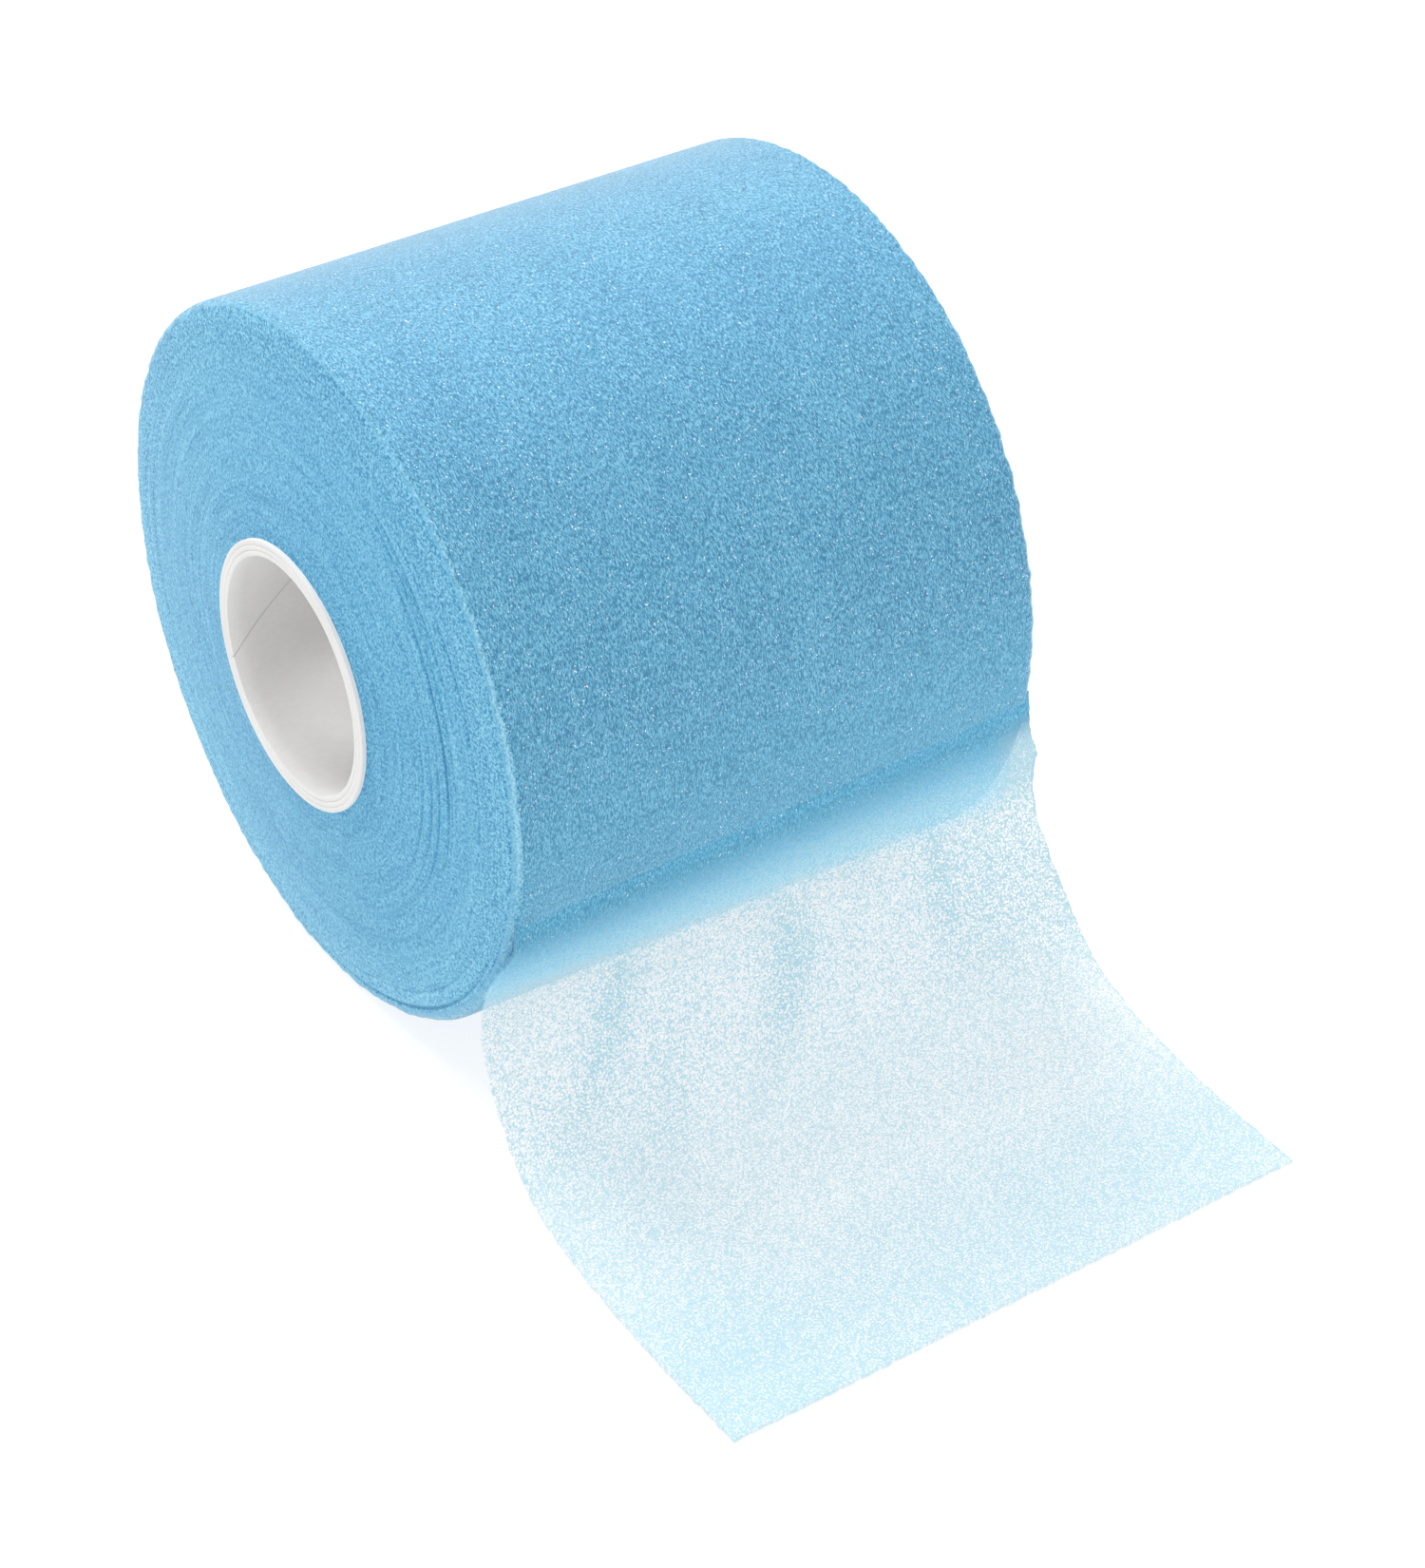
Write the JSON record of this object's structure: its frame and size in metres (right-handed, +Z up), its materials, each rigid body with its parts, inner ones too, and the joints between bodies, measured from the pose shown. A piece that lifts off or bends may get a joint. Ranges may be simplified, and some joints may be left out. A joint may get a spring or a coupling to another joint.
{
  "type": "foam underwrap roll",
  "caption": "Roll of thin blue foam underwrap tape on a spiral-wound paper core, with a loose see-through tail lying on the table.",
  "frame": {"origin": "middle of the small settled flat under the roll, on the surface that it stands on", "axes": "+X along the roll's axis, +Y from the loose tail towards the roll, +Z up"},
  "size_m": [0.0725, 0.1252, 0.0787],
  "materials": {
    "core_paper": "matte",
    "wound_foam": "matte",
    "loose_foam": "matte"
  },
  "bodies": {
    "outer_turns": {"tape_outer_turns": "wound_foam"},
    "wound_roll": {"core_liner_ply": "core_paper", "core_board_ply": "core_paper", "core_cover_ply": "core_paper", "tape_windings": "wound_foam"},
    "tail_drop": {"tail_drop_panel": "loose_foam"},
    "tail_knee": {"tail_knee_panel": "loose_foam"},
    "tail_laid": {"tail_laid_panel": "loose_foam"},
    "tail_end": {"tail_end_panel": "loose_foam"}
  },
  "joints": [
    {"name": "unwind", "type": "hinge", "parent": "outer_turns", "child": "wound_roll", "pos_m": [0, 0, 0.03917], "axis": [1, 0, 0], "continuous": true},
    {"name": "tail_pull", "type": "hinge", "parent": "outer_turns", "child": "tail_drop", "pos_m": [0, -0.0382, 0.02713], "axis": [-0.9982, 0.0181, -0.0576], "range_deg": [0, 110]},
    {"name": "knee_straighten", "type": "hinge", "parent": "tail_drop", "child": "tail_knee", "pos_m": [-0.00041, -0.03691, 0.01617], "axis": [-0.9992, 0.0119, -0.0374], "range_deg": [-50, 0]},
    {"name": "laid_straighten", "type": "hinge", "parent": "tail_knee", "child": "tail_laid", "pos_m": [-0.00143, -0.04911, 0.00354], "axis": [-0.9998, -0.0031, -0.0193], "range_deg": [-35, 0]},
    {"name": "end_fold", "type": "hinge", "parent": "tail_laid", "child": "tail_end", "pos_m": [-0.00199, -0.0635, 0.00075], "axis": [-0.9998, -0.0201, -0.0058], "range_deg": [0, 130]}
  ],
  "couplings": [
    {"joint": "knee_straighten", "follows": "tail_pull", "ratio": -0.45},
    {"joint": "laid_straighten", "follows": "tail_pull", "ratio": -0.31}
  ]
}
